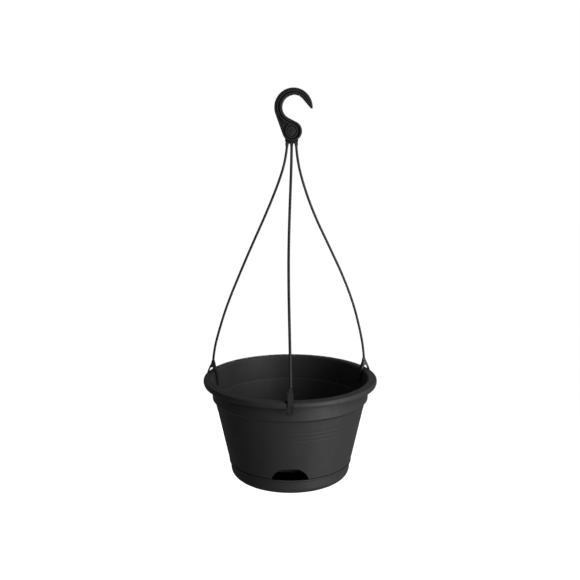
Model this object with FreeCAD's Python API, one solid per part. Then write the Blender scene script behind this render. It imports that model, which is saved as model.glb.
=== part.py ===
import FreeCAD, Part
import math
import os

# Self-watering hanging basket: a round pot over a water tray, three bowed plastic strands that
# clip over the rim, and a hook that swings on a pin above them. Millimetres, +Z up.
# It is drawn with z = 0 at the tray's underside and the pot's axis at x = y = 0, and it is
# shifted on export so that the origin is the seat inside the hook, straight above the axis.

Vec = FreeCAD.Vector

# pot
WALL = 2.0
POT_FOOT_Z = 27.0            # lower edge of the wall, just above the tray
POT_FOOT_R = 100.1
SHOULDER_LOW = (121.8, 126.3)
SHOULDER_HIGH = (125.9, 130.3)
LEDGE_LOW = (118.8, 122.5)   # the same shoulder inside, a little lower
LEDGE_HIGH = (119.9, 123.8)
NECK_R = 127.4               # wall just under the rim
RIM_R = 140.0                # the 28 cm size of the basket
RIM_LIP_Z = 154.0
RIM_BEVEL = (1.0, 156.7)     # below this height the rim's side draws in by so much
RIM_SIDE_Z = 159.6
RIM_EDGE = (136.4, 162.5)    # where the rim's nearly flat top turns down to its side
RIM_EDGE_BEND = (139.0, 161.6)
CREST_R = 128.6
POT_TOP_Z = 163.5
RIM_INNER_R = 125.0
RIM_INNER_Z = 160.4
RIM_SHELL = 2.2
FLOOR_LOW_Z = 28.0
FLOOR_TOP_Z = 30.0
SKIRT_R = 94.8               # spigot that centres the pot in the tray
SKIRT_LOW_Z = 19.0
RING_LEVELS = (95.0, 101.5, 108.0)
RING_HALF_H = 2.3            # each ring is a shallow groove in the wall
RING_DEPTH = 0.18
CUP_COUNT = 3                # wick cups that reach down into the water
CUP_CIRCLE_R = 55.0
CUP_TOP_R = 16.0
CUP_LOW_R = 12.0
CUP_LOW_Z = 4.6
DRAIN_COUNT = 8
DRAIN_R = 1.75
DRAIN_CIRCLE_R = 26.0

# watering mouth at the front of the pot
MOUTH_HALF = 28.75           # half width at the seam
MOUTH_TOP_HALF = 11.8
MOUTH_TOP_Z = 45.8
MOUTH_SEAM_Z = 26.0
MOUTH_BULGE = (22.9, 38.0)   # a point on the bowed side of the arch
MOUTH_BACK_TOP_Y = -77.0     # sloping back wall of the recess
MOUTH_BACK_LOW_Y = -72.0
MOUTH_SHELL = 1.8

# water tray
TRAY_TOP_Z = 25.7
TRAY_TOP_R = 100.2
TRAY_SIDE_R = 98.6
TRAY_FOOT_R = 85.0
TRAY_RING_R = 78.0
TRAY_RECESS_Z = 1.2
TRAY_RIB_COUNT = 12
TRAY_RIB_T = 2.0
TRAY_LIP = (27.0, 99.0, 24.0)    # thinner lip in the mouth: half width, inner radius, lower edge
NOTCH_W = 8.6
NOTCH_H = 0.8

# hanger
PIVOT_X = 2.2                # the hook leans a little, so the pivot sits right of the axis
PIVOT_Z = 552.6
HOOK_T = 8.0
HOOK_OUTER = (2.8, 35.4, 29.4)      # centre x and z from the pivot, radius
HOOK_INNER = (3.9, 35.6, 18.0)
HOOK_RIB = (3.2, 35.6, 24.8)
HOOK_BOSS = (0.7, -0.2, 15.4)
HOOK_TIP_OUT = (32.2, 35.3)
HOOK_TIP_END = (31.2, 33.4)
HOOK_TIP_IN = (28.8, 34.4)
FLANGE = 2.5
INNER_FLANGE = 4.0
RECESS = 2.8
EDGE_ROUND = 1.5
RIB_HALF = 0.7
RING_HALF = (8.6, 9.7)       # the oval bead round the pivot: half width and half height
SPIGOT_R = 7.4
PIN_R = 4.0
BORE_R = 4.05
PIN_HEAD_R = 7.5
PIN_HEAD_T = 1.2
PIN_DOME = 0.7
GAP = 0.3                    # between the hook's face and the hub's plate
PLAY = 0.2
HUB_T = 5.0
HUB_LOW_Z = 533.4
HUB_HALF = 10.2
SOCKET_END_Z = 529.6
SOCKET_R = 2.9
STRAND_R = 2.0
STRAND_SPACING = 7.2

# rim clips, in the radial plane
CLIP_AZIMUTHS = {"front": -89.75, "right": 18.0, "left": 169.0}
CLIP_W = 8.4
CLIP_R = 129.4
CLIP_TOP_Z = 182.0           # the strand ends on the neck's top
CLIP_APEX_Z = 177.0
NECK_HALF = 2.1
CLIP_LEG_T = 2.0
CLIP_OUTER_R = 140.8
CLIP_INNER_R = 120.3
CLIP_SLOT = (6.4, 139.6, 144.2)      # width, lower and upper edge of the slot in the pot's wall
CLIP_REST_R = 136.0                  # the clip's outer leg lies in a notch cut in to this radius
CLIP_GAP = 0.4
NOTCH_SIDE_R = 130.5                 # a wider slot in the rim beside it, where the clip is pushed in from
NOTCH_SIDE = 6.5

SEAT_OFFSET = PIVOT_X + HOOK_INNER[0]
SEAT_Z = PIVOT_Z + HOOK_INNER[1] + math.sqrt(HOOK_INNER[2] ** 2 - SEAT_OFFSET ** 2)


# ---------------------------------------------------------------- helpers

def radial_plane(r, z):
    return Vec(r, 0, z)


def hook_plane(x, z):
    return Vec(PIVOT_X + x, 0, PIVOT_Z + z)


def outline(start, steps, at):
    """A flat face bounded by lines and arcs. A step is (end,) for a line or (middle, end) for an arc."""
    edges = []
    here = start
    for step in list(steps) + [(start,)]:
        end = step[-1]
        if math.dist(here, end) < 1e-6:
            continue
        if len(step) == 2:
            edges.append(Part.Arc(at(*here), at(*step[0]), at(*end)).toShape())
        else:
            edges.append(Part.makeLine(at(*here), at(*end)))
        here = end
    return Part.Face(Part.Wire(edges))


def turned(start, steps):
    """A solid of revolution about the pot's axis."""
    return outline(start, steps, radial_plane).revolve(Vec(0, 0, 0), Vec(0, 0, 1), 360)


def slab(face, y_low, y_high):
    """A face in the hook's plane made into a plate from y_low to y_high."""
    moved = face.translated(Vec(0, y_low, 0))
    return moved.extrude(Vec(0, y_high - y_low, 0))


def disc(x, z, radius, y_low, y_high):
    """A round plate in the hook's plane."""
    return Part.makeCylinder(radius, y_high - y_low, hook_plane(x, z) + Vec(0, y_low, 0), Vec(0, 1, 0))


def prism(corners, x_low, x_high):
    """A bar along X whose section has these (y, z) corners."""
    points = [Vec(x_low, y, z) for y, z in corners]
    return Part.Face(Part.makePolygon(points + points[:1])).extrude(Vec(x_high - x_low, 0, 0))


def block(low, high):
    size = [b - a for a, b in zip(low, high)]
    return Part.makeBox(*size, Vec(*low))


def spun(shape, degrees):
    copy = shape.copy()
    copy.rotate(Vec(0, 0, 0), Vec(0, 0, 1), degrees)
    return copy


def on_circle(circle, degrees):
    x, z, radius = circle
    angle = math.radians(degrees)
    return (x + radius * math.cos(angle), z + radius * math.sin(angle))


def tangent_angle(low, high, crossing, side):
    """Direction, from the lower circle's centre, of the point where a line touches both circles.
    A crossing tangent passes between them. side is +1 to the left of the line of centres."""
    dx, dz = high[0] - low[0], high[1] - low[1]
    spread = low[2] + high[2] if crossing else low[2] - high[2]
    lean = math.acos(spread / math.hypot(dx, dz))
    return math.degrees(math.atan2(dz, dx) + side * lean)


# ---------------------------------------------------------------- pot

def wall_radius(z):
    """Outer radius of the tapered wall below the shoulder."""
    share = (z - POT_FOOT_Z) / (SHOULDER_LOW[1] - POT_FOOT_Z)
    return POT_FOOT_R + share * (SHOULDER_LOW[0] - POT_FOOT_R)


def ring_grooves():
    """The wall's profile through the rings, from the lowest one up."""
    steps = []
    for level in RING_LEVELS:
        low, high = level - RING_HALF_H, level + RING_HALF_H
        steps += [((wall_radius(low), low),), ((wall_radius(level) - RING_DEPTH, level),), ((wall_radius(high), high),)]
    return steps


def pot_shell():
    draw_in, bevel_z = RIM_BEVEL
    side_inner_r = RIM_R - RIM_SHELL
    lip_r = RIM_R - draw_in
    under_crest = (CREST_R + 0.6, POT_TOP_Z - RIM_SHELL)
    under_edge = (RIM_EDGE[0] - 0.6, RIM_EDGE[1] - RIM_SHELL)
    under_bend = (RIM_EDGE_BEND[0] - 1.7, RIM_EDGE_BEND[1] - RIM_SHELL + 0.1)
    return turned((0, FLOOR_LOW_Z), [
        ((SKIRT_R - WALL, FLOOR_LOW_Z),),
        ((SKIRT_R - WALL, SKIRT_LOW_Z),),
        ((SKIRT_R, SKIRT_LOW_Z),),
        ((SKIRT_R, FLOOR_LOW_Z),),
        ((POT_FOOT_R - WALL, FLOOR_LOW_Z),),
        ((POT_FOOT_R - WALL + 0.5, POT_FOOT_Z),),
        ((POT_FOOT_R, POT_FOOT_Z),),
        *ring_grooves(),
        (SHOULDER_LOW,),
        (SHOULDER_HIGH,),
        ((NECK_R, under_crest[1] - 2.8),),
        ((NECK_R + 0.8, under_crest[1] - 0.8), under_crest),
        (under_edge,),
        (under_bend, (side_inner_r, RIM_SIDE_Z - 1.4)),
        ((side_inner_r, bevel_z),),
        ((side_inner_r - draw_in, RIM_LIP_Z),),
        ((lip_r - 0.5 * RIM_SHELL, RIM_LIP_Z - 0.5), (lip_r, RIM_LIP_Z)),
        ((RIM_R, bevel_z),),
        ((RIM_R, RIM_SIDE_Z),),
        (RIM_EDGE_BEND, RIM_EDGE),
        ((CREST_R, POT_TOP_Z),),
        ((RIM_INNER_R + 1.1, POT_TOP_Z - 0.9), (RIM_INNER_R, RIM_INNER_Z)),
        (LEDGE_HIGH,),
        (LEDGE_LOW,),
        ((POT_FOOT_R - WALL + 0.7, FLOOR_TOP_Z),),
        ((0, FLOOR_TOP_Z),),
    ])


def mouth_arch(grow, low_z, y_low, y_high):
    """The mouth's arch as a bar along Y, larger by grow all round."""
    half = MOUTH_HALF + grow
    top_half = MOUTH_TOP_HALF + 0.6 * grow
    top_z = MOUTH_TOP_Z + grow
    bulge_x, bulge_z = MOUTH_BULGE[0] + 0.8 * grow, MOUTH_BULGE[1] + 0.6 * grow
    face = outline((-half, low_z), [
        ((-half, MOUTH_SEAM_Z),),
        ((-bulge_x, bulge_z), (-top_half, top_z)),
        ((top_half, top_z),),
        ((bulge_x, bulge_z), (half, MOUTH_SEAM_Z)),
        ((half, low_z),),
    ], radial_plane)
    return face.translated(Vec(0, y_low, 0)).extrude(Vec(0, y_high - y_low, 0))


def mouth_wedge(behind, low_z):
    """Everything in front of the recess's sloping back wall, moved back by behind."""
    slope = (MOUTH_BACK_LOW_Y - MOUTH_BACK_TOP_Y) / (MOUTH_TOP_Z - MOUTH_SEAM_Z)
    top_z = MOUTH_TOP_Z + 10
    low_y = MOUTH_BACK_LOW_Y + slope * (MOUTH_SEAM_Z - low_z) + behind
    top_y = MOUTH_BACK_TOP_Y - slope * 10 + behind
    return prism([(-130, low_z), (-130, top_z), (top_y, top_z), (low_y, low_z)], -40, 40)


def pot_envelope():
    """The pot's wall filled in to its axis, to trim what is added inside it."""
    return turned((0, POT_FOOT_Z), [((POT_FOOT_R, POT_FOOT_Z),), (SHOULDER_LOW,), ((0, SHOULDER_LOW[1]),)])


def wick_cups():
    """The cups' outsides and insides, as two lists."""
    outsides, insides = [], []
    depth = FLOOR_TOP_Z - CUP_LOW_Z
    for i in range(CUP_COUNT):
        angle = math.radians(90 + 360 * i / CUP_COUNT)
        x, y = CUP_CIRCLE_R * math.cos(angle), CUP_CIRCLE_R * math.sin(angle)
        outsides.append(Part.makeCone(CUP_LOW_R, CUP_TOP_R, depth, Vec(x, y, CUP_LOW_Z)))
        inner = Part.makeCone(CUP_LOW_R - WALL, CUP_TOP_R - WALL, depth, Vec(x, y, CUP_LOW_Z + WALL))
        insides.append(inner)
        slot_low, slot_high = CUP_LOW_Z + 3, CUP_LOW_Z + 11
        for turn in (0, 90):
            slot = block((-20, -1.5, slot_low), (20, 1.5, slot_high))
            slot = spun(slot, turn)
            insides.append(slot.translated(Vec(x, y, 0)))
    return outsides, insides


def clip_cuts():
    """What one clip needs: a slot in the wall, a notch in the rim, and a gap beside it with a
    sloping top, where the rim's end is rounded off."""
    slot_w, slot_low, slot_high = CLIP_SLOT
    rest = CLIP_W / 2 + CLIP_GAP
    low_z = RIM_LIP_Z - 3
    beside = [(-NOTCH_SIDE, low_z), (-NOTCH_SIDE, POT_TOP_Z - 3.5), (-NOTCH_SIDE - 2.5, POT_TOP_Z + 1),
              (-rest, POT_TOP_Z + 1), (-rest, low_z)]
    return [
        block((118, -slot_w / 2, slot_low), (132, slot_w / 2, slot_high)),
        block((CLIP_REST_R, -rest, low_z), (150, rest, 170)),
        prism(beside, NOTCH_SIDE_R, 150),
    ]


def make_pot():
    pot = pot_shell()
    cups, cup_spaces = wick_cups()
    scoop = mouth_arch(MOUTH_SHELL, FLOOR_LOW_Z, -120, -60)
    scoop = scoop.common(mouth_wedge(MOUTH_SHELL, FLOOR_LOW_Z)).common(pot_envelope())
    pot = pot.fuse(cups + [scoop])
    cuts = list(cup_spaces)
    cuts.append(mouth_arch(0, SKIRT_LOW_Z - 2, -125, -60).common(mouth_wedge(0, SKIRT_LOW_Z - 2)))
    for i in range(DRAIN_COUNT):
        hole = Part.makeCylinder(DRAIN_R, 10, Vec(DRAIN_CIRCLE_R, 0, FLOOR_LOW_Z - 5))
        cuts.append(spun(hole, 360 * (i + 0.5) / DRAIN_COUNT))
    for azimuth in CLIP_AZIMUTHS.values():
        cuts += [spun(cut, azimuth) for cut in clip_cuts()]
    return pot.cut(cuts).removeSplitter()


# ---------------------------------------------------------------- water tray

def tray_outside():
    return turned((0, 0), [
        ((TRAY_FOOT_R, 0),),
        ((93.9, 3.9), (97.3, 12.5)),
        ((TRAY_SIDE_R, 22.8),),
        ((99.9, 23.6), (TRAY_TOP_R, 24.6)),
        ((TRAY_TOP_R, TRAY_TOP_Z),),
        ((0, TRAY_TOP_Z),),
    ])


def tray_inside():
    low_z = TRAY_RECESS_Z + WALL
    return turned((0, low_z), [
        ((TRAY_FOOT_R - 0.8, low_z),),
        ((92.3, 5.6), (TRAY_SIDE_R - WALL - 1.3, 12.9)),
        ((TRAY_SIDE_R - WALL, 22.8),),
        ((TRAY_SIDE_R - WALL + 0.4, TRAY_TOP_Z),),
        ((0, TRAY_TOP_Z),),
    ])


def make_tray():
    outside = tray_outside()
    recess = Part.makeCylinder(TRAY_RING_R, TRAY_RECESS_Z)
    tray = outside.cut([tray_inside(), recess])
    ribs = []
    for i in range(TRAY_RIB_COUNT):
        half = TRAY_RIB_T / 2
        rib = block((90.5, -half, TRAY_RECESS_Z + WALL - 0.5), (99, half, SKIRT_LOW_Z))
        ribs.append(spun(rib, 360 * (i + 0.5) / TRAY_RIB_COUNT))
    ribs = [rib.common(outside) for rib in ribs]
    notch = block((-NOTCH_W / 2, -100, -1), (NOTCH_W / 2, -TRAY_RING_R + 1, NOTCH_H))
    lip_half, lip_r, lip_low = TRAY_LIP
    lip = Part.makeCylinder(lip_r, 5, Vec(0, 0, lip_low)).common(block((-lip_half, -110, 0), (lip_half, 0, 40)))
    return tray.fuse(ribs).cut([notch, lip]).removeSplitter()


# ---------------------------------------------------------------- hook, hub and pin

def hook_outline():
    left = tangent_angle(HOOK_BOSS, HOOK_OUTER, False, 1)
    right = tangent_angle(HOOK_BOSS, HOOK_INNER, True, -1)
    tip_turn = math.degrees(math.atan2(HOOK_TIP_OUT[1] - HOOK_OUTER[1], HOOK_TIP_OUT[0] - HOOK_OUTER[0]))
    tip_out = on_circle(HOOK_OUTER, tip_turn)
    reach = math.dist(HOOK_TIP_IN, HOOK_INNER[:2])
    to_tip = math.degrees(math.atan2(HOOK_TIP_IN[1] - HOOK_INNER[1], HOOK_TIP_IN[0] - HOOK_INNER[0]))
    throat_end = to_tip + math.degrees(math.acos(HOOK_INNER[2] / reach))
    throat_start = right + 180
    boss_middle = (left - 360 + right) / 2
    return outline(on_circle(HOOK_BOSS, left), [
        (on_circle(HOOK_OUTER, left),),
        (on_circle(HOOK_OUTER, (left + tip_turn) / 2), tip_out),
        (HOOK_TIP_END, HOOK_TIP_IN),
        (on_circle(HOOK_INNER, throat_end),),
        (on_circle(HOOK_INNER, (throat_end + throat_start) / 2), on_circle(HOOK_INNER, throat_start)),
        (on_circle(HOOK_BOSS, right),),
        (on_circle(HOOK_BOSS, boss_middle), on_circle(HOOK_BOSS, left)),
    ], hook_plane)


def rib_outline():
    """The thin rib that runs from near the tip round the hook and down to the pivot ring."""
    ring_r = sum(RING_HALF) / 2
    touch = tangent_angle((0, 0, ring_r), HOOK_RIB, True, -1)
    far_side = touch + 180
    start = 12
    wide = (HOOK_RIB[0], HOOK_RIB[1], HOOK_RIB[2] + RIB_HALF)
    narrow = (HOOK_RIB[0], HOOK_RIB[1], HOOK_RIB[2] - RIB_HALF)
    middle = (start + far_side) / 2
    return outline(on_circle(wide, start), [
        (on_circle(wide, middle), on_circle(wide, far_side)),
        (on_circle((0, 0, ring_r - RIB_HALF), touch),),
        (on_circle((0, 0, ring_r + RIB_HALF), touch),),
        (on_circle(narrow, far_side),),
        (on_circle(narrow, middle), on_circle(narrow, start)),
    ], hook_plane)


def ring_oval(grow, y_low, y_high):
    """The middle line of the bead round the pivot, grown by grow, as an oval plate."""
    half_w, half_h = RING_HALF
    top, side = hook_plane(0, half_h + grow), hook_plane(half_w + grow, 0)
    edge = Part.Ellipse(top, side, hook_plane(0, 0)).toShape()
    return slab(Part.Face(Part.Wire([edge])), y_low, y_high)


def hook_recess(face, y_low, y_high):
    """The moulded recess in one face of the hook, with the rib and the bead left standing."""
    recess = slab(face.makeOffset2D(-FLANGE), y_low, y_high)
    x, z, radius = HOOK_INNER
    keep = [
        disc(x, z, radius + INNER_FLANGE, y_low, y_high),
        slab(rib_outline(), y_low, y_high),
        ring_oval(RIB_HALF, y_low, y_high),
    ]
    return recess.cut(keep).fuse(ring_oval(-RIB_HALF, y_low, y_high))


def rounded_blank():
    """The hook's plain plate with its long edges rounded. The tip's sharp corners stay."""
    half = HOOK_T / 2
    blank = slab(hook_outline(), -half, half)
    long_edges = []
    for edge in blank.Edges:
        box = edge.BoundBox
        flat = box.YLength < 0.01
        if flat and edge.Length > 2 * EDGE_ROUND and box.XMax < PIVOT_X + HOOK_TIP_IN[0]:
            long_edges.append(edge)
    return blank.makeFillet(EDGE_ROUND, long_edges)


def make_hook():
    half = HOOK_T / 2
    face = hook_outline()
    cuts = [
        hook_recess(face, -half - 1, -half + RECESS),
        hook_recess(face, half - RECESS, half + 1),
        disc(0, 0, BORE_R, -half, half),
    ]
    return rounded_blank().cut(cuts).removeSplitter()


def make_hub():
    front = HOOK_T / 2 + GAP
    back = front + HUB_T
    low = HUB_LOW_Z - PIVOT_Z
    eye = 11.0
    plate = outline((-eye, 0), [
        ((0, eye), (eye, 0)),
        ((HUB_HALF, low + 6),),
        ((HUB_HALF - 0.9, low + 1.6), (HUB_HALF - 2.0, low)),
        ((-HUB_HALF + 2.0, low),),
        ((-HUB_HALF + 0.9, low + 1.6), (-HUB_HALF, low + 6)),
    ], hook_plane)
    hub = slab(plate, front, back)
    spigot_front = HOOK_T / 2 - RECESS + PLAY
    pieces = [disc(0, 0, SPIGOT_R, spigot_front, front + 1)]
    middle_y = (front + back) / 2
    socket_h = HUB_LOW_Z + 1 - SOCKET_END_Z
    for x in (-STRAND_SPACING, 0, STRAND_SPACING):
        socket_end = Vec(PIVOT_X + x, middle_y, SOCKET_END_Z)
        pieces.append(Part.makeCone(STRAND_R + 0.25, SOCKET_R, socket_h, socket_end))
    hub = hub.fuse(pieces)
    return hub.cut(disc(0, 0, PIN_R, 0, back + 1)).removeSplitter()


def make_pin():
    head_back = -(HOOK_T / 2 - RECESS + PLAY)
    head_front = head_back - PIN_HEAD_T
    back = HOOK_T / 2 + GAP + HUB_T
    dome_r = (PIN_HEAD_R ** 2 + PIN_DOME ** 2) / (2 * PIN_DOME)
    dome = Part.makeSphere(dome_r, hook_plane(0, 0) + Vec(0, head_front + dome_r, 0))
    head = disc(0, 0, PIN_HEAD_R, head_front - 1, head_back).common(dome)
    shaft = disc(0, 0, PIN_R, head_back - 0.5, back + 0.4)
    rivet = Part.makeCone(PIN_R + 1.6, PIN_R, 1.4, hook_plane(0, 0) + Vec(0, back, 0), Vec(0, 1, 0))
    return head.fuse([shaft, rivet]).removeSplitter()


# ---------------------------------------------------------------- strands

# Each strand's way down: share of the distance out from the hub to the clip, and height.
STRAND_ROUTE = (
    (0.000, SOCKET_END_Z),
    (0.014, 510.0),
    (0.098, 474.0),
    (0.259, 425.0),
    (0.462, 374.0),
    (0.662, 322.0),
    (0.828, 272.0),
    (0.937, 226.0),
    (0.987, 199.0),
    (1.000, CLIP_TOP_Z),
)
# Each strand leans a little sideways: by the first length over its whole height, and by the
# second one way above its middle and the other way below.
STRAND_LEANS = {"front": (-3.9, 0.0), "left": (0.6, -1.8), "right": (-0.1, -1.8)}


def strand_route(side):
    """The route's corners from the hub's socket to the clip."""
    azimuth = math.radians(CLIP_AZIMUTHS[side])
    start_x = PIVOT_X + {"left": -STRAND_SPACING, "front": 0, "right": STRAND_SPACING}[side]
    start_y = HOOK_T / 2 + GAP + HUB_T / 2
    end_x, end_y = CLIP_R * math.cos(azimuth), CLIP_R * math.sin(azimuth)
    bow, sway = STRAND_LEANS[side]
    route = []
    for share, z in STRAND_ROUTE:
        lean = bow * math.sin(math.pi * share) + sway * math.sin(2 * math.pi * share)
        x = start_x + share * (end_x - start_x) + lean
        y = start_y + share * (end_y - start_y)
        route.append(Vec(x, y, z))
    return route


def cord_tube(name, route, radius):
    """Straight runs joined by tangent arcs, each as large as its two runs allow.
    The ends are trimmed level, to stand flat on the hub's socket and the clip."""
    edges = []
    overshoot = 1.0
    here = route[0] + (route[0] - route[1]).normalize() * overshoot
    last = route[-1] + (route[-1] - route[-2]).normalize() * overshoot
    radii = []
    for before, corner, after in zip(route, route[1:], route[2:]):
        arriving, leaving = corner - before, after - corner
        turn = arriving.getAngle(leaving)
        reach = 0.45 * min(arriving.Length, leaving.Length)
        bend = reach / math.tan(turn / 2)
        arriving.normalize()
        leaving.normalize()
        inward = leaving - arriving
        inward.normalize()
        middle = corner + inward * (math.hypot(bend, reach) - bend)
        arc_start, arc_end = corner - arriving * reach, corner + leaving * reach
        edges.append(Part.makeLine(here, arc_start))
        edges.append(Part.Arc(arc_start, middle, arc_end).toShape())
        here = arc_end
        radii.append(bend)
    edges.append(Part.makeLine(here, last))
    path = Part.Wire(edges)
    section = Part.Wire(Part.makeCircle(radius, edges[0].Vertexes[0].Point, route[1] - route[0]))
    tube = path.makePipeShell([section], True, False)
    expected = path.Length * math.pi * radius ** 2
    print(name, "length", round(path.Length - 2 * overshoot, 1), "radii", [round(r) for r in radii],
          "volume ratio", round(tube.Volume / expected, 4))
    return tube.common(block((-200, -200, route[-1].z), (200, 200, route[0].z)))


# ---------------------------------------------------------------- rim clips

def clip_profile():
    """The clip's forked shape in the radial plane: a long outer leg that lies in the rim's notch,
    and an inner leg down the pot's wall, whose foot hooks into the slot."""
    outer, inner, t = CLIP_OUTER_R, CLIP_INNER_R, CLIP_LEG_T
    return outline((CLIP_R - NECK_HALF, CLIP_TOP_Z), [
        ((CLIP_R + NECK_HALF, CLIP_TOP_Z),),
        ((CLIP_R + 3.2, CLIP_APEX_Z),),
        ((CLIP_R + 7.0, 169.0), (outer - 0.7, 158.5)),
        ((outer, 149.0),),
        ((outer - 0.9, 144.2),),
        ((outer - t, 144.6),),
        ((outer - t - 0.6, 158.0),),
        ((CLIP_R + 5.7, 167.4), (CLIP_R + 2.6, 170.6)),
        ((CLIP_R + 1.2, 171.0), (CLIP_R - 0.2, 170.4)),
        ((CLIP_R - 1.6, 167.0),),
        ((CLIP_R - 3.6, 163.2),),
        ((CLIP_R - 4.9, 160.0),),
        ((inner + t, 143.6),),
        ((127.4, 143.6),),
        ((127.6, 144.1),),
        ((128.9, 144.1),),
        ((129.3, 140.4),),
        ((inner + 1.4, 140.4),),
        ((inner, 141.8),),
        ((inner + 2.2, 160.2),),
        ((CLIP_R - 5.4, 167.2),),
        ((CLIP_R - 3.2, 172.8), (CLIP_R - 2.4, CLIP_APEX_Z)),
    ], radial_plane)


def make_clip(azimuth):
    half = CLIP_W / 2
    clip = clip_profile().translated(Vec(0, -half, 0)).extrude(Vec(0, CLIP_W, 0))
    foot_half = CLIP_SLOT[0] / 2 - 0.4
    over = CLIP_TOP_Z + 1
    beyond = half + 0.1
    horn_z = CLIP_APEX_Z + 1.2
    trims = [
        block((110, foot_half, 135), (135, 20, 145)),
        block((110, -20, 135), (135, -foot_half, 145)),
        # right shoulder, from the neck down to the leg's full width
        prism([(NECK_HALF, over), (NECK_HALF, CLIP_TOP_Z - 0.6), (beyond, 168.5), (beyond, over)], 100, 160),
        # left shoulder, with a small horn beside a V
        prism([(-NECK_HALF, over), (-NECK_HALF, 173.5), (-half + 0.9, horn_z), (-beyond, horn_z),
               (-beyond, over)], 100, 160),
        # outer leg: tapered on its left, cut short on its right
        prism([(-beyond, 150.0), (-beyond, 140), (-half + 1.6, 140)], 135, 156),
        block((135, half - 2.2, 140), (150, 20, 147.6)),
    ]
    rib = block((CLIP_OUTER_R - 0.8, half - 1.8, 147.6), (CLIP_OUTER_R + 0.6, half + 0.5, 157.0))
    return spun(clip.cut(trims).fuse(rib).removeSplitter(), azimuth)


# ---------------------------------------------------------------- build

def build_parts():
    parts = {
        "pot": make_pot(),
        "water_tray": make_tray(),
        "hook": make_hook(),
        "hanger_hub": make_hub(),
        "pivot_pin": make_pin(),
    }
    for side, azimuth in CLIP_AZIMUTHS.items():
        parts["strand_" + side] = cord_tube("strand_" + side, strand_route(side), STRAND_R)
        parts["rim_clip_" + side] = make_clip(azimuth)
    return parts


os.makedirs("parts", exist_ok=True)
for node, solid in build_parts().items():
    placed = solid.translated(Vec(0, 0, -SEAT_Z))
    placed.exportStep("parts/" + node + ".step")
    box = placed.BoundBox
    print(node, "solids", len(placed.Solids), "valid", placed.isValid(), "volume", round(placed.Volume),
          "z", round(box.ZMin, 2), round(box.ZMax, 2))
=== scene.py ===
import math

import bpy
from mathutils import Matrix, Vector


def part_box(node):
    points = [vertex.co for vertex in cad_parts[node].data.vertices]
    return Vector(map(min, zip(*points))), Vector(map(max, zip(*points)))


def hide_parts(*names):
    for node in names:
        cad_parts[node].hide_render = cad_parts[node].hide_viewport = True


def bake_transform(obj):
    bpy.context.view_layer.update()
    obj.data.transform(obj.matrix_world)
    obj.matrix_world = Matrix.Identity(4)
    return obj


# Looks of the self-watering hanging basket: camera, studio, the three bowed strands and every material.
# Metres, in the CAD frame: the origin is the seat inside the hook, +Z up, -Y to the front.

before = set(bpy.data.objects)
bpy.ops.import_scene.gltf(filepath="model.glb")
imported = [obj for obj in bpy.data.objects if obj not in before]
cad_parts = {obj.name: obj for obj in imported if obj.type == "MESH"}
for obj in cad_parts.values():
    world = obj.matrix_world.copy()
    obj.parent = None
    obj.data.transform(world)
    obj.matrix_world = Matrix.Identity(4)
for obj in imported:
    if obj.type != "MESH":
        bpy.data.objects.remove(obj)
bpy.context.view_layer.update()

BASE_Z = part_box("water_tray")[0].z
MM = 0.001


# ---------------------------------------------------------------- camera

CAMERA_PLACE = Vector((-0.0003, -1.2262, BASE_Z + 0.5268))
CAMERA_PITCH = 10.28
LENS = 48.57
SENSOR_WIDTH = 36


def make_camera():
    data = bpy.data.cameras.new("camera")
    data.lens = LENS
    data.sensor_width = SENSOR_WIDTH
    data.clip_start = 0.05
    data.clip_end = 50
    camera = bpy.data.objects.new("camera", data)
    bpy.context.scene.collection.objects.link(camera)
    camera.location = CAMERA_PLACE
    camera.rotation_euler = (math.radians(90 - CAMERA_PITCH), 0, 0)
    bpy.context.scene.camera = camera


make_camera()


# ---------------------------------------------------------------- strands

STRAND_D = 4.0 * MM
STRAND_SIDES = 24
STRAND_BODY = 0.98                   # the section's radius away from the ridges, as a share
RIDGE = 0.07                         # how far a parting ridge stands out, as a share
RIDGE_SHARPNESS = 24
STRAND_SPACING = 7.2 * MM
PIVOT_X = 2.2 * MM
HUB_Y = 6.8 * MM
CLIP_R = 129.4 * MM
CLIP_AZIMUTHS = {"front": -89.75, "right": 18.0, "left": 169.0}

# The way down: share of the distance out from the hub to the clip, and height above the base.
STRAND_ROUTE = (
    (0.000, 0.5296),
    (0.014, 0.5100),
    (0.098, 0.4740),
    (0.259, 0.4250),
    (0.462, 0.3740),
    (0.662, 0.3220),
    (0.828, 0.2720),
    (0.937, 0.2260),
    (0.987, 0.1990),
    (1.000, 0.1820),
)
# Each strand leans a little sideways: by the first length over its whole height, and by the
# second one way above its middle and the other way below.
STRAND_LEANS = {"front": (-3.9 * MM, 0.0), "left": (0.6 * MM, -1.8 * MM), "right": (-0.1 * MM, -1.8 * MM)}


def strand_points(side):
    """The route from the hub's socket to the clip."""
    azimuth = math.radians(CLIP_AZIMUTHS[side])
    offset = {"left": -STRAND_SPACING, "front": 0, "right": STRAND_SPACING}[side]
    start = Vector((PIVOT_X + offset, HUB_Y, 0))
    end = Vector((CLIP_R * math.cos(azimuth), CLIP_R * math.sin(azimuth), 0))
    bow, sway = STRAND_LEANS[side]
    points = []
    for share, height in STRAND_ROUTE:
        place = start.lerp(end, share)
        lean = bow * math.sin(math.pi * share) + sway * math.sin(2 * math.pi * share)
        points.append(Vector((place.x + lean, place.y, BASE_Z + height)))
    return points


def smooth_line(points):
    """The points of a NURBS curve that has these as its control points."""
    data = bpy.data.curves.new("route", "CURVE")
    data.dimensions = "3D"
    spline = data.splines.new("NURBS")
    spline.points.add(len(points) - 1)
    for point, place in zip(spline.points, points):
        point.co = (*place, 1)
    spline.order_u = 3
    spline.use_endpoint_u = True
    spline.resolution_u = 24
    route = bpy.data.objects.new("route", data)
    mesh = bpy.data.meshes.new_from_object(route)
    line = [v.co.copy() for v in mesh.vertices]
    bpy.data.meshes.remove(mesh)
    bpy.data.objects.remove(route)
    bpy.data.curves.remove(data)
    return line


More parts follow.
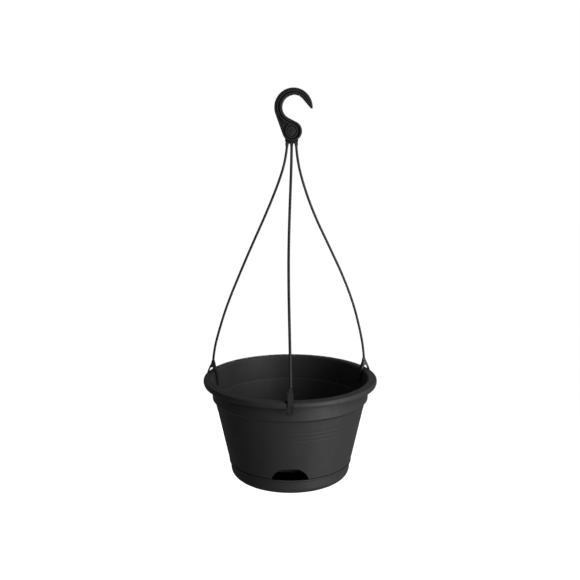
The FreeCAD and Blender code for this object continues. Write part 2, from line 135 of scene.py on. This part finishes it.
def mesh_object(name, verts, faces, smooth=True):
    mesh = bpy.data.meshes.new(name)
    mesh.from_pydata([tuple(v) for v in verts], [], faces)
    mesh.validate()
    mesh.polygons.foreach_set("use_smooth", [smooth] * len(mesh.polygons))
    obj = bpy.data.objects.new(name, mesh)
    bpy.context.scene.collection.objects.link(obj)
    return obj


def strand_section(angle):
    """Radius of the strand's section: round, with the moulding's two faint parting ridges."""
    ridge = abs(math.cos(angle)) ** RIDGE_SHARPNESS
    return STRAND_D / 2 * (STRAND_BODY + RIDGE * ridge)


def make_strand(side):
    """A tube along the route, cut level at both ends, to stand on the hub and the clip."""
    line = smooth_line(strand_points(side))
    around = STRAND_SIDES
    across = Vector((0, 1, 0)) if side != "front" else Vector((1, 0, 0))
    verts, faces = [], []
    for i, centre in enumerate(line):
        before, after = line[max(i - 1, 0)], line[min(i + 1, len(line) - 1)]
        along = (after - before).normalized()
        level = i in (0, len(line) - 1)
        if level:
            along = Vector((0, 0, -1))
        across = (across - along * across.dot(along)).normalized()
        third = along.cross(across)
        for k in range(around):
            angle = 2 * math.pi * k / around
            radius = strand_section(angle)
            verts.append(centre + (across * math.cos(angle) + third * math.sin(angle)) * radius)
    for i in range(len(line) - 1):
        for k in range(around):
            a, b = i * around + k, i * around + (k + 1) % around
            faces.append((a, b, b + around, a + around))
    last = (len(line) - 1) * around
    faces.append(tuple(reversed(range(around))))
    faces.append(tuple(range(last, last + around)))
    strand = mesh_object("strand_tube_" + side, verts, faces)
    return strand


strands = {side: make_strand(side) for side in STRAND_LEANS}
for side, strand in strands.items():
    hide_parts("strand_" + side)


# ---------------------------------------------------------------- materials

DUST = (0.16, 0.15, 0.135, 1)
EDGE_REACH = 1.1 * MM                # how far in from an edge it is rubbed paler and given a painted highlight
OCCLUSION_SAMPLES = 8


def texture(tree, place, kind, stretch=(1, 1, 1), **inputs):
    """A procedural texture on the object's own coordinates, squeezed by stretch along each axis."""
    mapping = tree.nodes.new("ShaderNodeMapping")
    mapping.inputs["Scale"].default_value = stretch
    tree.links.new(place, mapping.inputs["Vector"])
    made = tree.nodes.new(kind)
    for name, value in inputs.items():
        made.inputs[name].default_value = value
    tree.links.new(mapping.outputs["Vector"], made.inputs["Vector"])
    return made.outputs[0]


def ramp(tree, source, low, high, from_low=0.3, from_high=0.7):
    """A value, or a grey, that runs from low to high as the source does between two marks."""
    made = tree.nodes.new("ShaderNodeMapRange")
    tree.links.new(source, made.inputs["Value"])
    for name, value in (("From Min", from_low), ("From Max", from_high), ("To Min", low), ("To Max", high)):
        made.inputs[name].default_value = value
    return made.outputs["Result"]


def combine(tree, operation, first, second):
    made = tree.nodes.new("ShaderNodeMath")
    made.operation = operation
    tree.links.new(first, made.inputs[0])
    tree.links.new(second, made.inputs[1])
    return made.outputs["Value"]


def bump(tree, height, strength, distance, under=None):
    made = tree.nodes.new("ShaderNodeBump")
    made.inputs["Strength"].default_value = strength
    made.inputs["Distance"].default_value = distance
    tree.links.new(height, made.inputs["Height"])
    if under is not None:
        tree.links.new(under, made.inputs["Normal"])
    return made.outputs["Normal"]


def tinted(tree, grey, tint):
    """A colour that is the tint times a grey value."""
    made = tree.nodes.new("ShaderNodeVectorMath")
    made.operation = "SCALE"
    made.inputs[0].default_value = tint
    tree.links.new(grey, made.inputs["Scale"])
    return made.outputs["Vector"]


def dust_share(tree, place, most):
    """How much fine dust lies on each spot: on faces that look up, and in patches."""
    normal = tree.nodes.new("ShaderNodeSeparateXYZ")
    geometry = tree.nodes.new("ShaderNodeNewGeometry")
    tree.links.new(geometry.outputs["Normal"], normal.inputs["Vector"])
    upward = ramp(tree, normal.outputs["Z"], 0.0, 1.0, 0.35, 1.0)
    patches = texture(tree, place, "ShaderNodeTexNoise", Scale=95.0, Detail=6.0, Roughness=0.7)
    return combine(tree, "MULTIPLY", upward, ramp(tree, patches, 0.0, most, 0.35, 0.75))


def painted_shade_share(tree, reach, deepest):
    """Painted shade: 1 on open faces, falling to deepest in narrow gaps, corners and pockets within reach,
    where shade falls.
    """
    occlusion = tree.nodes.new("ShaderNodeAmbientOcclusion")
    occlusion.samples = OCCLUSION_SAMPLES
    occlusion.inputs["Distance"].default_value = reach
    return ramp(tree, occlusion.outputs["AO"], deepest, 1.0, 0.4, 0.98)


def worn_and_highlighted_edges(tree, reach, most):
    """1 on broad faces, rising to most along sharp edges and thin ribs: partly rubbed paler by handling,
    partly a painted highlight where light catches them.
    """
    occlusion = tree.nodes.new("ShaderNodeAmbientOcclusion")
    occlusion.samples = OCCLUSION_SAMPLES
    occlusion.inside = True
    occlusion.inputs["Distance"].default_value = reach
    return ramp(tree, occlusion.outputs["AO"], most, 1.0, 0.5, 0.95)


def moulded_plastic(name, tone, tint, roughness, specular, grain_mm, grain, dust, reach, deepest, wear_and_highlight):
    """Moulded polypropylene: eroded grain, slow flow marks along the draw, painted shade in its hollows,
    edges rubbed paler with a painted highlight, and dust.
    """
    material = bpy.data.materials.new(name)
    material.use_nodes = True
    tree = material.node_tree
    shader = tree.nodes["Principled BSDF"]
    place = tree.nodes.new("ShaderNodeTexCoord").outputs["Object"]

    flow = texture(tree, place, "ShaderNodeTexNoise", (1, 1, 0.3), Scale=26.0, Detail=5.0, Roughness=0.6)
    speckle = texture(tree, place, "ShaderNodeTexNoise", Scale=1400.0, Detail=2.0, Roughness=0.7)
    flow_tone = ramp(tree, flow, 0.9 * tone, 1.1 * tone)
    grey = combine(tree, "MULTIPLY", flow_tone, ramp(tree, speckle, 0.88, 1.12))
    # Painted shade: the grey darkens in gaps, corners and pockets, where shade falls.
    grey = combine(tree, "MULTIPLY", grey, painted_shade_share(tree, reach, deepest))
    # Painted highlight, partly real rubbing: the grey pales along sharp edges and thin ribs.
    grey = combine(tree, "MULTIPLY", grey, worn_and_highlighted_edges(tree, EDGE_REACH, wear_and_highlight))
    clean = tinted(tree, grey, tint)
    mix = tree.nodes.new("ShaderNodeMix")
    mix.data_type = "RGBA"
    mix.inputs["B"].default_value = DUST
    tree.links.new(dust_share(tree, place, dust), mix.inputs["Factor"])
    tree.links.new(clean, mix.inputs["A"])
    tree.links.new(mix.outputs["Result"], shader.inputs["Base Color"])

    patches = texture(tree, place, "ShaderNodeTexNoise", Scale=70.0, Detail=5.0, Roughness=0.65)
    rubbed = texture(tree, place, "ShaderNodeTexVoronoi", (1, 1, 0.06), Scale=320.0)
    finish = combine(tree, "ADD", ramp(tree, patches, roughness - 0.05, roughness + 0.05),
                     ramp(tree, rubbed, -0.05, 0.0, 0.0, 0.25))
    tree.links.new(finish, shader.inputs["Roughness"])

    sink = texture(tree, place, "ShaderNodeTexNoise", Scale=14.0, Detail=2.0)
    eroded = texture(tree, place, "ShaderNodeTexNoise", Scale=1000.0 / grain_mm, Detail=3.0, Roughness=0.65)
    wave = bump(tree, sink, 0.15, 0.0006)
    tree.links.new(bump(tree, eroded, grain, 0.00012, under=wave), shader.inputs["Normal"])
    shader.inputs["Specular IOR Level"].default_value = specular
    return material


# tone is the grey of a clean, open face. reach and deepest say how far and how much painted shade darkens a
# hollow, wear_and_highlight how much paler an edge is, from rubbing and a painted highlight, and grain how
# deep the eroded texture is at grain_mm.
pot_plastic = moulded_plastic(
    "pot_plastic", tone=0.0225, tint=(1.0, 1.0, 1.03), roughness=0.55, specular=0.22,
    grain_mm=0.9, grain=0.8, dust=0.05, reach=20 * MM, deepest=0.13, wear_and_highlight=1.4)
hook_plastic = moulded_plastic(
    "hook_plastic", tone=0.0115, tint=(1.0, 1.0, 1.02), roughness=0.4, specular=0.3,
    grain_mm=0.6, grain=0.5, dust=0.02, reach=6 * MM, deepest=0.0, wear_and_highlight=2.4)
strand_plastic = moulded_plastic(
    "strand_plastic", tone=0.0155, tint=(1.0, 1.0, 1.02), roughness=0.45, specular=0.2,
    grain_mm=0.5, grain=0.4, dust=0.02, reach=4 * MM, deepest=0.3, wear_and_highlight=1.3)

FINISHES = {
    "pot": pot_plastic,
    "water_tray": pot_plastic,
    "hook": hook_plastic,
    "pivot_pin": hook_plastic,
    "hanger_hub": strand_plastic,
    "rim_clip_front": strand_plastic,
    "rim_clip_left": strand_plastic,
    "rim_clip_right": strand_plastic,
}


def finish_with(obj, material):
    obj.data.materials.clear()
    obj.data.materials.append(material)


for name, material in FINISHES.items():
    finish_with(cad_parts[name], material)
for strand in strands.values():
    finish_with(strand, strand_plastic)


# ---------------------------------------------------------------- bodies

for strand in strands.values():
    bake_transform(strand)


# ---------------------------------------------------------------- studio

FLOOR_Z = BASE_Z - 0.55
FLOOR_HALF = 12.0
FLOOR_GLOW = 0.98
BACKDROP = 1.0                       # what the camera sees behind the object
FILL = 0.16                          # the backdrop's light on the object
POT_MIDDLE = (0, 0, BASE_Z + 0.1)
LIGHT_SIZE = 1.0
LIGHT_DISTANCE = 2.0
# Azimuth and elevation seen from the pot, and watts. The one at the back only shows the back's shape.
LIGHTS = {
    "key": (-42, 12, 26),
    "right_top": (-22, 45, 20),
    "table_glow": (-45, -15, 36),
    "back": (93, -12, 28),
}


def make_floor():
    """A pale floor, lit evenly enough that it runs into the backdrop."""
    corners = ((-1, -1), (1, -1), (1, 1), (-1, 1))
    verts = [(x * FLOOR_HALF, y * FLOOR_HALF, FLOOR_Z) for x, y in corners]
    floor = mesh_object("floor", verts, [(0, 1, 2, 3)], smooth=False)
    material = bpy.data.materials.new("floor")
    material.use_nodes = True
    shader = material.node_tree.nodes["Principled BSDF"]
    shader.inputs["Base Color"].default_value = (0.1, 0.1, 0.1, 1)
    shader.inputs["Roughness"].default_value = 0.9
    shader.inputs["Emission Color"].default_value = (1, 1, 1, 1)
    shader.inputs["Emission Strength"].default_value = FLOOR_GLOW
    finish_with(floor, material)
    floor.visible_diffuse = False
    floor.visible_glossy = False


def make_light(name, place, target, size, power):
    data = bpy.data.lights.new(name, "AREA")
    data.shape = "DISK"
    data.size = size
    data.energy = power
    light = bpy.data.objects.new(name, data)
    light.location = place
    way = Vector(target) - Vector(place)
    light.rotation_euler = way.to_track_quat("-Z", "Y").to_euler()
    light.visible_camera = False
    bpy.context.scene.collection.objects.link(light)


def make_world():
    """A white backdrop, whose own light on the object is dim."""
    world = bpy.data.worlds.new("studio")
    bpy.context.scene.world = world
    world.use_nodes = True
    tree = world.node_tree
    fill = tree.nodes["Background"]
    fill.inputs["Strength"].default_value = FILL
    seen = tree.nodes.new("ShaderNodeBackground")
    seen.inputs["Strength"].default_value = BACKDROP
    rays = tree.nodes.new("ShaderNodeLightPath")
    mix = tree.nodes.new("ShaderNodeMixShader")
    for background in (fill, seen):
        background.inputs["Color"].default_value = (1, 1, 1, 1)
    tree.links.new(rays.outputs["Is Camera Ray"], mix.inputs["Fac"])
    tree.links.new(fill.outputs["Background"], mix.inputs[1])
    tree.links.new(seen.outputs["Background"], mix.inputs[2])
    tree.links.new(mix.outputs["Shader"], tree.nodes["World Output"].inputs["Surface"])


def from_pot(azimuth, elevation, distance):
    """A place at this direction and distance from the middle of the pot."""
    level = distance * math.cos(math.radians(elevation))
    rise = distance * math.sin(math.radians(elevation))
    turn = math.radians(azimuth)
    return Vector((level * math.cos(turn), level * math.sin(turn), rise)) + Vector(POT_MIDDLE)


make_floor()
make_world()
for name, (azimuth, elevation, power) in LIGHTS.items():
    make_light(name, from_pot(azimuth, elevation, LIGHT_DISTANCE), POT_MIDDLE, LIGHT_SIZE, power)

scene = bpy.context.scene
scene.view_settings.view_transform = "Standard"
scene.view_settings.look = "None"
